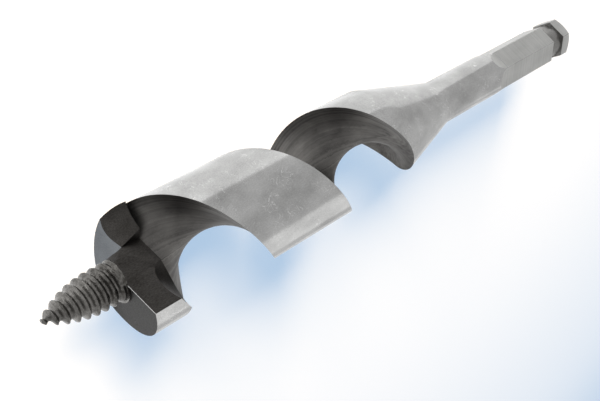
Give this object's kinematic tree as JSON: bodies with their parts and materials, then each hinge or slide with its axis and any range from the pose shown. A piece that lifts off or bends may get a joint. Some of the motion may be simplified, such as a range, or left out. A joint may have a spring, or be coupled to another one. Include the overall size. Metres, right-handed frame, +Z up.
{
  "type": "ship auger bit",
  "caption": "Ship auger bit with a threaded lead screw, one cutting lip, a deep spiral flute and a hexagonal quick-change shank.",
  "frame": {"origin": "centre of the shank's end face, on the bit's axis", "axes": "+X along the bit's axis, out of the shank's end; +Z up as the bit lies; the lead screw points to -X"},
  "size_m": [0.1905, 0.0281, 0.0286],
  "materials": {
    "ground_steel": "satin"
  },
  "bodies": {
    "root": {"auger_bit": "ground_steel"}
  },
  "joints": []
}
